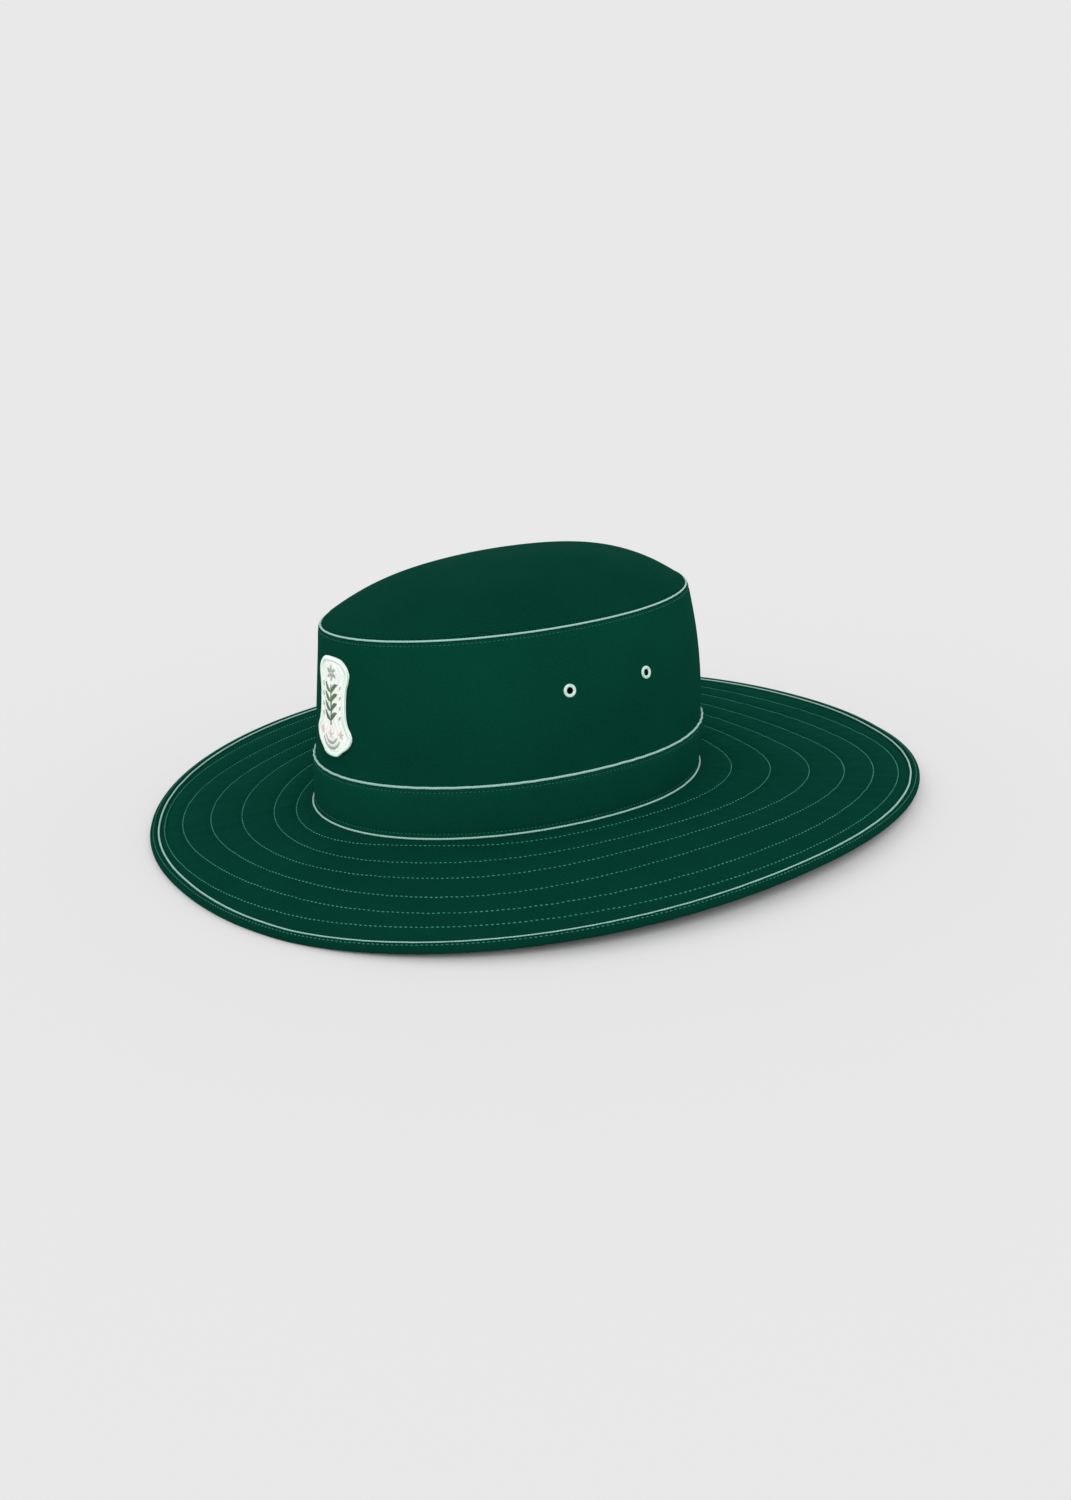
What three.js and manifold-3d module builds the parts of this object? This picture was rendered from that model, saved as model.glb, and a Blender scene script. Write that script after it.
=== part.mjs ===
import * as THREE from 'three';
import { mergeVertices } from 'three/addons/utils/BufferGeometryUtils.js';
import Module from 'manifold-3d';

// A cotton sun hat with a wide quilted brim, lying on its brim as it would by itself.
// Millimetres, +Z up. The badge faces -Y and the wearer's left is +X. The origin is under
// the middle of the brim, on the surface that the hat lies on.
// Every piece is drawn at the same turns round the hat: turn 0 is the front, 90 degrees the left.

const segments = 60;
const seamGap = 0.3;
const degree = Math.PI / 180;

const cloth = { wall: 1.2, tip: 1.2, hem: 1.0, band: 1.0, brim: 2.2, boundEdge: 1.0, binding: 1.0 };

// Outer face of the crown's side wall, a row for each height above the brim.
// Front and back are reaches from the hat's widest station, side is half the width there.
const widestStation = -3.7;
const crownSections = [
  { height: 0, front: 116.5, back: 88.7, side: 85.9 },
  { height: 55.6, front: 110.3, back: 96.3, side: 83.7 },
  { height: 91.1, front: 106.0, back: 93.7, side: 75.2 },
];
const rim = crownSections[crownSections.length - 1];
const crownFoot = { height: 8.9, tilt: -0.0186 };
const dome = { rise: 22, power: 3.1, backwardSwell: 0.00155 };
const tipRings = [0.26, 0.47, 0.64, 0.78, 0.89];
const tipHemEnd = 84;
const tipFoldRise = 1.5;

// Brim outline on the outside of its binding, a rounder oval than an ellipse.
const brimOutline = { halfLength: 197.3, halfWidth: 186.5, power: 2.15 };
const brimEdge = { middle: 1.8, sideLift: 6.9, flatShare: 0.4, flatMargin: 6, thinMargin: 5, fullMargin: 12 };
const brimSag = 1.25;
const brimShares = [0.2, 0.45, 0.72];
const brimHemHeight = 8;

const binding = { width: 3.6, corner: 0.9, cornerDrop: 0.6 };
const bandHeight = 23.75;

const piping = { tip: 0.48, band: 0.58, foot: 0.46, brim: 0.46 };
const pipingSides = 5;
const wallTop = rim.height - piping.tip - seamGap;

const eyelet = { boreRadius: 1.55, barrelRadius: 2.05, flangeRadius: 3.1, washerRadius: 2.9, sheet: 0.4, sides: 12 };
const eyeletPlace = { height: 63, middleTurn: 86, halfSpread: 12 };

// Badge outline, a row for each height above its centre, with half its width there.
// The patch is sewn on a little to the wearer's left of the middle.
const badgePlace = { height: 57.4, across: 2.6 };
const badgeThickness = 1.0;
const badgeColumns = 6;
const badgeOutline = [
  { height: 23.5, half: 5.2 },
  { height: 20.8, half: 10.2 },
  { height: 17.2, half: 12.5 },
  { height: 13.4, half: 12.3 },
  { height: 9.2, half: 11.1 },
  { height: 3.6, half: 10.7 },
  { height: -3.4, half: 10.9 },
  { height: -7.8, half: 12.2 },
  { height: -10.8, half: 14.2 },
  { height: -14.0, half: 15.0 },
  { height: -17.8, half: 13.0 },
  { height: -21.0, half: 8.6 },
  { height: -23.6, half: 4.2 },
];

const finishes = {
  crownCotton: new THREE.MeshStandardMaterial({ color: 0x063c2e, roughness: 0.92, metalness: 0 }),
  brimCotton: new THREE.MeshStandardMaterial({ color: 0x063a2d, roughness: 0.92, metalness: 0 }),
  bindingTape: new THREE.MeshStandardMaterial({ color: 0x053527, roughness: 0.85, metalness: 0 }),
  paleCord: new THREE.MeshStandardMaterial({ color: 0x9fcbbb, roughness: 0.7, metalness: 0 }),
  paleEnamel: new THREE.MeshStandardMaterial({ color: 0xc4ddd2, roughness: 0.35, metalness: 0.2 }),
  whiteThread: new THREE.MeshStandardMaterial({ color: 0xf2f4ee, roughness: 0.75, metalness: 0 }),
};

// Crown surface

function readSection(height, column) {
  let sum = 0;
  for (const row of crownSections) {
    let weight = 1;
    for (const other of crownSections) {
      if (other !== row) weight *= (height - other.height) / (row.height - other.height);
    }
    sum += weight * row[column];
  }
  return sum;
}

function wallPoint(turn, height) {
  const reach = readSection(height, Math.cos(turn) > 0 ? 'front' : 'back');
  const along = -reach * Math.cos(turn);
  const tilt = crownFoot.tilt * (1 - height / rim.height);
  return new THREE.Vector3(
    readSection(height, 'side') * Math.sin(turn),
    widestStation + along,
    crownFoot.height + height + tilt * along,
  );
}

function wallNormal(turn, height) {
  const step = 0.01;
  const around = wallPoint(turn + step, height).sub(wallPoint(turn - step, height));
  const upward = wallPoint(turn, height + step).sub(wallPoint(turn, height - step));
  return around.cross(upward).normalize();
}

function crownPoint(turn, height, outward) {
  return wallPoint(turn, height).addScaledVector(wallNormal(turn, height), outward);
}

// The crown's lower edge, a seam's gap over the brim.
function crownHem(turn, outward) {
  return crownPoint(turn, seamGap, outward).setZ(wallPoint(turn, seamGap).z);
}

// Dome of the tip: share 0 is its middle, 1 the rim of the wall.
function domePoint(turn, share) {
  const edge = wallPoint(turn, rim.height);
  const middleY = widestStation + (rim.back - rim.front) / 2;
  const y = middleY + (edge.y - middleY) * share;
  const swell = 1 + dome.backwardSwell * (y - widestStation);
  const rise = dome.rise * (1 - share ** dome.power) * swell;
  return new THREE.Vector3(edge.x * share, y, edge.z + rise);
}

function domeHeight(turn, point) {
  const middle = new THREE.Vector2(0, widestStation + (rim.back - rim.front) / 2);
  const edge = wallPoint(turn, rim.height);
  const reach = middle.distanceTo(new THREE.Vector2(edge.x, edge.y));
  return domePoint(turn, middle.distanceTo(new THREE.Vector2(point.x, point.y)) / reach).z;
}

function domeNormal(turn, share) {
  const step = 0.01;
  const outwards = domePoint(turn, share + step).sub(domePoint(turn, share - step));
  const around = domePoint(turn + step, share).sub(domePoint(turn - step, share));
  return outwards.cross(around).normalize();
}

// Brim surface

function rounded(value) {
  return Math.sign(value) * Math.abs(value) ** (2 / brimOutline.power);
}

function outlinePoint(turn) {
  return new THREE.Vector2(
    brimOutline.halfWidth * rounded(Math.sin(turn)),
    -brimOutline.halfLength * rounded(Math.cos(turn)),
  );
}

function brimWidth(turn) {
  const foot = wallPoint(turn, 0);
  return outlinePoint(turn).distanceTo(new THREE.Vector2(foot.x, foot.y));
}

// The edge lies flat on the surface at the front and the back, and lifts a little at the sides.
function edgeMiddle(turn) {
  const flat = brimEdge.flatShare ** 2;
  return brimEdge.middle + brimEdge.sideLift * Math.max(0, (Math.sin(turn) ** 2 - flat) / (1 - flat));
}

function brimThickness(margin) {
  const share = (margin - brimEdge.thinMargin) / (brimEdge.fullMargin - brimEdge.thinMargin);
  return cloth.boundEdge + (cloth.brim - cloth.boundEdge) * THREE.MathUtils.clamp(share, 0, 1);
}

// Margin is the distance inward from the outline, and side 1 the top face, -1 the underside.
function brimPoint(turn, margin, side, clear = 0) {
  const width = brimWidth(turn);
  const foot = wallPoint(turn, 0);
  const place = outlinePoint(turn).lerp(new THREE.Vector2(foot.x, foot.y), margin / width);
  const share = Math.max(0, (margin - brimEdge.flatMargin) / (width - brimEdge.flatMargin));
  const edge = edgeMiddle(turn);
  const middle = edge + (foot.z - cloth.brim / 2 - edge) * share ** brimSag;
  return new THREE.Vector3(place.x, place.y, middle + side * (brimThickness(margin) / 2 + clear));
}

// Solids from sections

function closedGeometry(positions, triangles) {
  const geometry = new THREE.BufferGeometry();
  geometry.setAttribute('position', new THREE.Float32BufferAttribute(positions.flatMap((p) => p.toArray()), 3));
  let volume = 0;
  for (const [a, b, c] of triangles) {
    volume += positions[a].dot(new THREE.Vector3().crossVectors(positions[b], positions[c]));
  }
  const outward = volume > 0 ? triangles : triangles.map(([a, b, c]) => [a, c, b]);
  geometry.setIndex(outward.flat());
  return geometry;
}

// A section at each turn, closed on itself, or open between two poles on the middle of the hat.
function aroundHat(sectionAt, poles = null) {
  const sections = Array.from({ length: segments }, (_, i) => sectionAt((i / segments) * 2 * Math.PI));
  const count = sections[0].length;
  const positions = sections.flat();
  const triangles = [];
  const corner = (turn, place) => (turn % segments) * count + (place % count);
  const strips = poles ? count - 1 : count;
  for (let i = 0; i < segments; i += 1) {
    for (let j = 0; j < strips; j += 1) {
      triangles.push([corner(i, j), corner(i + 1, j), corner(i + 1, j + 1)]);
      triangles.push([corner(i, j), corner(i + 1, j + 1), corner(i, j + 1)]);
    }
    if (poles) {
      triangles.push([positions.length, corner(i + 1, 0), corner(i, 0)]);
      triangles.push([positions.length + 1, corner(i, count - 1), corner(i + 1, count - 1)]);
    }
  }
  return closedGeometry(poles ? [...positions, ...poles] : positions, triangles);
}

// A plate between two grids of points with the same rows and columns.
function plate(front, back) {
  const rows = front.length;
  const columns = front[0].length;
  const positions = [...front.flat(), ...back.flat()];
  const at = (face, row, column) => face * rows * columns + row * columns + column;
  const triangles = [];
  const quad = (a, b, c, d) => triangles.push([a, b, c], [a, c, d]);
  for (let r = 0; r < rows - 1; r += 1) {
    for (let c = 0; c < columns - 1; c += 1) {
      quad(at(0, r, c), at(0, r + 1, c), at(0, r + 1, c + 1), at(0, r, c + 1));
      quad(at(1, r, c), at(1, r, c + 1), at(1, r + 1, c + 1), at(1, r + 1, c));
    }
    quad(at(0, r, 0), at(1, r, 0), at(1, r + 1, 0), at(0, r + 1, 0));
    quad(at(0, r, columns - 1), at(0, r + 1, columns - 1), at(1, r + 1, columns - 1), at(1, r, columns - 1));
  }
  for (let c = 0; c < columns - 1; c += 1) {
    quad(at(0, 0, c), at(0, 0, c + 1), at(1, 0, c + 1), at(1, 0, c));
    quad(at(0, rows - 1, c), at(1, rows - 1, c), at(1, rows - 1, c + 1), at(0, rows - 1, c + 1));
  }
  return closedGeometry(positions, triangles);
}

// Round cord whose middle runs through centreAt, with its section square to the hat's wall.
function cordRing(centreAt, radius) {
  return aroundHat((turn) => {
    const centre = centreAt(turn);
    const outward = wallNormal(turn, 0).setZ(0).normalize();
    return Array.from({ length: pipingSides }, (_, k) => {
      const angle = (k / pipingSides) * 2 * Math.PI + Math.PI / 2;
      const point = centre.clone().addScaledVector(outward, radius * Math.cos(angle));
      return point.setZ(centre.z + radius * Math.sin(angle));
    });
  });
}

function toManifold(geometry) {
  const bare = geometry.clone();
  bare.deleteAttribute('normal');
  bare.deleteAttribute('uv');
  const merged = mergeVertices(bare);
  return new wasm.Manifold(new wasm.Mesh({
    numProp: 3,
    vertProperties: new Float32Array(merged.attributes.position.array),
    triVerts: new Uint32Array(merged.index.array),
  }));
}

function fromManifold(solid) {
  const mesh = solid.getMesh();
  const geometry = new THREE.BufferGeometry();
  geometry.setAttribute('position', new THREE.Float32BufferAttribute(mesh.vertProperties, 3));
  geometry.setIndex(new THREE.BufferAttribute(new Uint32Array(mesh.triVerts), 1));
  return geometry;
}

const wasm = await Module();
wasm.setup();

// Eyelets: where each one sits, and how its axis points out of the wall

const eyelets = [];
for (const side of [{ name: 'left', sign: 1 }, { name: 'right', sign: -1 }]) {
  for (const row of [{ name: 'front', sign: -1 }, { name: 'back', sign: 1 }]) {
    const turn = side.sign * (eyeletPlace.middleTurn + row.sign * eyeletPlace.halfSpread) * degree;
    eyelets.push({
      name: `eyelet_${side.name}_${row.name}`,
      centre: wallPoint(turn, eyeletPlace.height),
      outward: wallNormal(turn, eyeletPlace.height),
    });
  }
}
const lathedAxis = new THREE.Vector3(0, 1, 0);

// Pieces

// The tip's edge turns down inside the wall, past the piping, as its seam does.
function crownTip() {
  const hemOut = -(cloth.wall + seamGap);
  const hemIn = hemOut - cloth.hem;
  const fold = (turn, outward, drop) => {
    const point = crownPoint(turn, rim.height + tipFoldRise, outward);
    return point.setZ(domeHeight(turn, point) - drop);
  };
  const top = domePoint(0, 0);
  return aroundHat((turn) => [
    ...tipRings.map((share) => domePoint(turn, share)),
    fold(turn, hemOut, 0),
    crownPoint(turn, wallTop, hemOut),
    crownPoint(turn, tipHemEnd, hemOut),
    crownPoint(turn, tipHemEnd, hemIn),
    crownPoint(turn, wallTop, hemIn),
    fold(turn, hemIn, cloth.tip),
    ...[...tipRings].reverse().map((share) => (
      domePoint(turn, share).addScaledVector(domeNormal(turn, share), -cloth.tip)
    )),
  ], [top, top.clone().setZ(top.z - cloth.tip)]);
}

function crownWall() {
  const heights = [bandHeight / 2, bandHeight, 43, 64, tipHemEnd, wallTop];
  const shell = aroundHat((turn) => [
    crownHem(turn, 0),
    ...heights.map((height) => crownPoint(turn, height, 0)),
    ...[...heights].reverse().map((height) => crownPoint(turn, height, -cloth.wall)),
    crownHem(turn, -cloth.wall),
  ]);
  let solid = toManifold(shell);
  const holeRadius = (eyelet.barrelRadius + seamGap) / Math.cos(Math.PI / eyelet.sides);
  for (const { centre, outward } of eyelets) {
    const punch = new THREE.CylinderGeometry(holeRadius, holeRadius, 4 * cloth.wall, eyelet.sides);
    punch.applyQuaternion(new THREE.Quaternion().setFromUnitVectors(lathedAxis, outward));
    punch.translate(centre.x, centre.y, centre.z);
    solid = solid.subtract(toManifold(punch));
  }
  return fromManifold(solid);
}

function hatBand() {
  const inner = seamGap;
  const outer = seamGap + cloth.band;
  const heights = [bandHeight / 2, bandHeight];
  return aroundHat((turn) => [
    crownHem(turn, outer),
    ...heights.map((height) => crownPoint(turn, height, outer)),
    ...[...heights].reverse().map((height) => crownPoint(turn, height, inner)),
    crownHem(turn, inner),
  ]);
}

// The brim's inner edge turns up inside the wall, as its seam does.
function brim() {
  const hemOut = -(cloth.wall + seamGap);
  const hemIn = hemOut - cloth.hem;
  const clothEdge = cloth.binding + seamGap;
  return aroundHat((turn) => {
    const width = brimWidth(turn);
    const margins = [width, ...brimShares.map((share) => width * (1 - share)), brimEdge.fullMargin,
      brimEdge.thinMargin, clothEdge];
    const foot = brimPoint(turn, width, 1).z;
    return [
      crownPoint(turn, brimHemHeight, hemIn),
      crownPoint(turn, brimHemHeight, hemOut),
      crownPoint(turn, 0, hemOut).setZ(foot),
      ...margins.map((margin) => brimPoint(turn, margin, 1)),
      ...[...margins].reverse().map((margin) => brimPoint(turn, margin, -1)),
      crownPoint(turn, 0, hemIn).setZ(foot - cloth.brim),
    ];
  });
}

// The binding folds round the edge of the brim, and its underside is what the hat lies on.
function brimBinding() {
  const { width, corner, cornerDrop } = binding;
  const outside = seamGap + cloth.binding;
  const profile = [
    { margin: width, side: 1, clear: outside },
    { margin: outside, side: 1, clear: outside },
    { margin: outside - corner, side: 1, clear: outside - cornerDrop },
    { margin: 0, side: 1, clear: -cloth.boundEdge / 2 },
    { margin: outside - corner, side: -1, clear: outside - cornerDrop },
    { margin: outside, side: -1, clear: outside },
    { margin: width, side: -1, clear: outside },
    { margin: width, side: -1, clear: seamGap },
    { margin: cloth.binding, side: -1, clear: seamGap },
    { margin: cloth.binding, side: 1, clear: seamGap },
    { margin: width, side: 1, clear: seamGap },
  ];
  return aroundHat((turn) => profile.map(({ margin, side, clear }) => brimPoint(turn, margin, side, clear)));
}

const tipPiping = () => cordRing(
  (turn) => crownPoint(turn, rim.height, -(cloth.wall - piping.tip)),
  piping.tip,
);

const bandPiping = () => cordRing(
  (turn) => crownPoint(turn, bandHeight + seamGap + piping.band, seamGap + piping.band),
  piping.band,
);

const footPiping = () => cordRing((turn) => {
  const clear = seamGap + piping.foot;
  const place = crownPoint(turn, clear + piping.foot, seamGap + cloth.band + clear);
  const fromWall = place.setZ(0).distanceTo(wallPoint(turn, 0).setZ(0));
  return brimPoint(turn, brimWidth(turn) - fromWall, 1, clear);
}, piping.foot);

const brimPiping = () => cordRing(
  (turn) => brimPoint(turn, binding.width + seamGap + piping.brim, 1, seamGap + piping.brim),
  piping.brim,
);

// A rolled flange outside, a barrel through the wall and a washer inside, as one ring.
function eyeletRing({ centre, outward }) {
  const { boreRadius, barrelRadius, flangeRadius, washerRadius, sheet, sides } = eyelet;
  const inside = -(cloth.wall + seamGap);
  const profile = [
    new THREE.Vector2(boreRadius, inside - sheet),
    new THREE.Vector2(washerRadius, inside - sheet / 2),
    new THREE.Vector2(washerRadius, inside),
    new THREE.Vector2(barrelRadius, inside),
    new THREE.Vector2(barrelRadius, seamGap),
    new THREE.Vector2(flangeRadius, seamGap),
    new THREE.Vector2(flangeRadius, seamGap + sheet / 2),
    new THREE.Vector2((boreRadius + flangeRadius) / 2, seamGap + sheet * 1.5),
    new THREE.Vector2(boreRadius, seamGap + sheet),
  ];
  profile.push(profile[0].clone());
  const ring = new THREE.LatheGeometry(profile, sides);
  ring.applyQuaternion(new THREE.Quaternion().setFromUnitVectors(lathedAxis, outward));
  ring.translate(centre.x, centre.y, centre.z);
  return ring;
}

// The badge bends round the front of the wall: its columns are equal steps along the cloth.
function badge() {
  const grid = (outward) => badgeOutline.map(({ height, half }) => {
    const level = badgePlace.height + height;
    const turnPerMm = 1 / readSection(level, 'side');
    return Array.from({ length: badgeColumns + 1 }, (_, column) => {
      const across = badgePlace.across + half * ((2 * column) / badgeColumns - 1);
      return crownPoint(across * turnPerMm, level, outward);
    });
  });
  return plate(grid(seamGap + badgeThickness), grid(seamGap));
}

// The hat

const hat = new THREE.Group();

function addPiece(name, geometry, finish) {
  const mesh = new THREE.Mesh(geometry, finish);
  mesh.name = name;
  hat.add(mesh);
}

addPiece('crown_tip', crownTip(), finishes.crownCotton);
addPiece('crown_wall', crownWall(), finishes.crownCotton);
addPiece('hat_band', hatBand(), finishes.crownCotton);
addPiece('brim', brim(), finishes.brimCotton);
addPiece('brim_binding', brimBinding(), finishes.bindingTape);
addPiece('tip_piping', tipPiping(), finishes.paleCord);
addPiece('band_piping', bandPiping(), finishes.paleCord);
addPiece('foot_piping', footPiping(), finishes.paleCord);
addPiece('brim_piping', brimPiping(), finishes.paleCord);
for (const place of eyelets) addPiece(place.name, eyeletRing(place), finishes.paleEnamel);
addPiece('badge', badge(), finishes.whiteThread);

export default hat;
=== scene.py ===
import bpy
import math
import numpy as np
from mathutils import Matrix, Vector


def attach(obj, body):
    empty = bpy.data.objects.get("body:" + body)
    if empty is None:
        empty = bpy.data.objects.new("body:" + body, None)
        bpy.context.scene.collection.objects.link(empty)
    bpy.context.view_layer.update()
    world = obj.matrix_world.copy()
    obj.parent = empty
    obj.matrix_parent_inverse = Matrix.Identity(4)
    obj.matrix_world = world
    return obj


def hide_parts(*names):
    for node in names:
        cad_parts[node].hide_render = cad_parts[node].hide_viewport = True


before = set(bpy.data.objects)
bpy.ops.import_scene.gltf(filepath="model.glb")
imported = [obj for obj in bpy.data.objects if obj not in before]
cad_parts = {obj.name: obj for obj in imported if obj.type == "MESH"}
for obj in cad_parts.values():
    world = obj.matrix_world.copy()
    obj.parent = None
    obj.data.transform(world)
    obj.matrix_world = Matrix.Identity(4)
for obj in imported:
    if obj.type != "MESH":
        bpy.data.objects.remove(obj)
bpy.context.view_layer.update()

# Lengths below are in millimetres, and mm turns them into Blender's metres.
# A turn is an angle round the hat: 0 is the front, a quarter turn the wearer's left.
mm = 0.001
fullTurn = 2 * math.pi

hatForm = {
    "station": -3.7,                  # where the crown is widest, along Y
    "footHeight": 8.9,
    "footTilt": -0.0186,
    "heights": (0, 55.6, 91.1),       # foot, waist and rim of the wall
    "front": (116.5, 110.3, 106.0),
    "back": (88.7, 96.3, 93.7),
    "side": (85.9, 83.7, 75.2),
    "domeRise": 22,
    "domePower": 3.1,
    "domeSwell": 0.00155,
    "halfLength": 197.3,              # brim, on the outside of its binding
    "halfWidth": 186.5,
    "outlinePower": 2.15,
    "edgeMiddle": 1.8,
    "sideLift": 6.9,
    "flatShare": 0.4,
    "flatMargin": 6,
    "sag": 1.25,
}
clothSize = {
    "seamGap": 0.3,
    "wall": 1.2,
    "tip": 1.2,
    "hem": 1.0,
    "band": 1.0,
    "brim": 2.2,
    "boundEdge": 1.0,
    "thinMargin": 5,
    "fullMargin": 12,
    "bindingWidth": 3.6,
    "binding": 1.0,
    "bandHeight": 23.75,
    "hemEnd": 84,
    "brimHem": 8,
}
pipingRadius = {"tip": 0.48, "band": 0.58, "foot": 0.46, "brim": 0.46}
seamGap = clothSize["seamGap"]
rimHeight = hatForm["heights"][2]
tipMiddle = hatForm["station"] + (hatForm["back"][2] - hatForm["front"][2]) / 2
wallTop = rimHeight - pipingRadius["tip"] - seamGap
hemOut = -(clothSize["wall"] + seamGap)  # the hems' two faces, measured out from the wall's outside
hemIn = hemOut - clothSize["hem"]


# Form of the hat

def readSection(height, column):
    levels = hatForm["heights"]
    reaches = hatForm[column]
    total = 0
    for i, level in enumerate(levels):
        weight = 1
        for other in levels:
            if other != level:
                weight = weight * (height - other) / (level - other)
        total = total + weight * reaches[i]
    return total


def unit(vectors):
    return vectors / np.linalg.norm(vectors, axis=-1, keepdims=True)


def points(x, y, z):
    return np.stack(np.broadcast_arrays(x, y, z), -1)


def wallPoint(turn, height):
    reach = np.where(np.cos(turn) > 0, readSection(height, "front"), readSection(height, "back"))
    along = -reach * np.cos(turn)
    tilt = hatForm["footTilt"] * (1 - height / rimHeight)
    x = readSection(height, "side") * np.sin(turn)
    return points(x, hatForm["station"] + along, hatForm["footHeight"] + height + tilt * along)


def wallNormal(turn, height):
    step = 0.01
    around = wallPoint(turn + step, height) - wallPoint(turn - step, height)
    upward = wallPoint(turn, height + step) - wallPoint(turn, height - step)
    return unit(np.cross(around, upward))


def domePoint(turn, share):
    edge = wallPoint(turn, rimHeight)
    y = tipMiddle + (edge[..., 1] - tipMiddle) * share
    swell = 1 + hatForm["domeSwell"] * (y - hatForm["station"])
    rise = hatForm["domeRise"] * (1 - share ** hatForm["domePower"]) * swell
    return points(edge[..., 0] * share, y, edge[..., 2] + rise)


def domeNormal(turn, share):
    step = 0.01
    outwards = domePoint(turn, share + step) - domePoint(turn, share - step)
    around = domePoint(turn + step, share) - domePoint(turn - step, share)
    return unit(np.cross(outwards, around))


def signedPower(wave, power):
    return np.sign(wave) * np.abs(wave) ** power


def outlinePoint(turn):
    power = 2 / hatForm["outlinePower"]
    x = hatForm["halfWidth"] * signedPower(np.sin(turn), power)
    return x, -hatForm["halfLength"] * signedPower(np.cos(turn), power)


def brimWidth(turn):
    x, y = outlinePoint(turn)
    foot = wallPoint(turn, 0)
    return np.hypot(x - foot[..., 0], y - foot[..., 1])


def edgeMiddle(turn):
    flat = hatForm["flatShare"] ** 2
    lift = np.maximum(0, (np.sin(turn) ** 2 - flat) / (1 - flat))
    return hatForm["edgeMiddle"] + hatForm["sideLift"] * lift


def brimPoint(turn, margin, side, clear=0.0):  # margin is the distance in from the outline
    width = brimWidth(turn)
    foot = wallPoint(turn, 0)
    x, y = outlinePoint(turn)
    inward = margin / width
    share = np.maximum(0, (margin - hatForm["flatMargin"]) / (width - hatForm["flatMargin"]))
    edge = edgeMiddle(turn)
    middle = edge + (foot[..., 2] - clothSize["brim"] / 2 - edge) * share ** hatForm["sag"]
    thinSpan = clothSize["fullMargin"] - clothSize["thinMargin"]
    thinning = np.clip((margin - clothSize["thinMargin"]) / thinSpan, 0, 1)
    thickness = clothSize["boundEdge"] + (clothSize["brim"] - clothSize["boundEdge"]) * thinning
    return points(x + (foot[..., 0] - x) * inward, y + (foot[..., 1] - y) * inward,
                  middle + side * (thickness / 2 + clear))


# Soft unevenness of sewn cloth

def ripple(turn, across, seed, counts, drift=0.0):  # waves round the hat, about 1 high
    draw = np.random.default_rng(seed)
    waves = 9
    total = 0
    for count in draw.integers(counts[0], counts[1], waves):
        phase = draw.uniform(0, fullTurn)
        total = total + np.cos(count * turn + phase + draw.uniform(-drift, drift) * across)
    return total / math.sqrt(waves)


def groove(distance, width):
    return np.exp(-(distance / width) ** 2)


stitchRows = {
    "underTip": 1.3,                  # below the wall's top edge
    "underBandTop": 1.4,
    "overBandFoot": 2.3,
    "onBinding": 1.7,                 # in from the outline
}
wallSurface = {
    "slow": 0.40,
    "slowWaves": (3, (2, 9), 0.035),  # seed, range of waves round the hat, drift
    "tipPucker": 0.13,
    "tipPuckerWidth": 8,
    "tipWaves": (5, (60, 105), 0.05),
    "bandPucker": 0.10,
    "bandPuckerWidth": 9,
    "bandWaves": (6, (55, 100), 0.05),
    "rowDepth": 0.22,
    "rowWidth": 0.8,
    "eyeletDent": 0.30,
    "eyeletDentWidth": 5.5,
    "reach": 105,                     # the wall's usual distance from its middle
}
backSeam = {"turn": math.pi, "depth": 0.55, "width": 1.1}
eyeletPlace = {"height": 63.0, "middleTurn": math.radians(86), "halfSpread": math.radians(12)}
eyeletTurns = {}
for side, sideSign in (("left", 1), ("right", -1)):
    for row, rowSign in (("front", -1), ("back", 1)):
        fromFront = eyeletPlace["middleTurn"] + rowSign * eyeletPlace["halfSpread"]
        eyeletTurns["eyelet_" + side + "_" + row] = sideSign * fromFront


def alongWall(turn, place):  # rough distance round the wall
    return (np.mod(turn - place + np.pi, fullTurn) - np.pi) * wallSurface["reach"]


def wallRelief(turn, height):
    surface = wallSurface
    fade = np.sin(np.pi * np.clip(height / rimHeight, 0, 1))
    underTip, overBand = wallTop - height, height - clothSize["bandHeight"]
    slow = surface["slow"] * ripple(turn, height, *surface["slowWaves"]) * fade
    tipPucker = surface["tipPucker"] * ripple(turn, height, *surface["tipWaves"])
    bandPucker = surface["bandPucker"] * ripple(turn, height, *surface["bandWaves"])
    relief = slow + tipPucker * groove(underTip, surface["tipPuckerWidth"])
    relief = relief + bandPucker * groove(overBand, surface["bandPuckerWidth"])
    relief = relief - surface["rowDepth"] * groove(underTip - stitchRows["underTip"], surface["rowWidth"])
    relief = relief - backSeam["depth"] * groove(alongWall(turn, backSeam["turn"]), backSeam["width"])
    for place in eyeletTurns.values():
        across = alongWall(turn, place)
        distance = np.hypot(across, height - eyeletPlace["height"])
        relief = relief - surface["eyeletDent"] * groove(distance, surface["eyeletDentWidth"])
    return relief


def crownPoint(turn, height, outward):
    lift = outward + wallRelief(turn, height)
    return wallPoint(turn, height) + wallNormal(turn, height) * lift[..., None]


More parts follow.
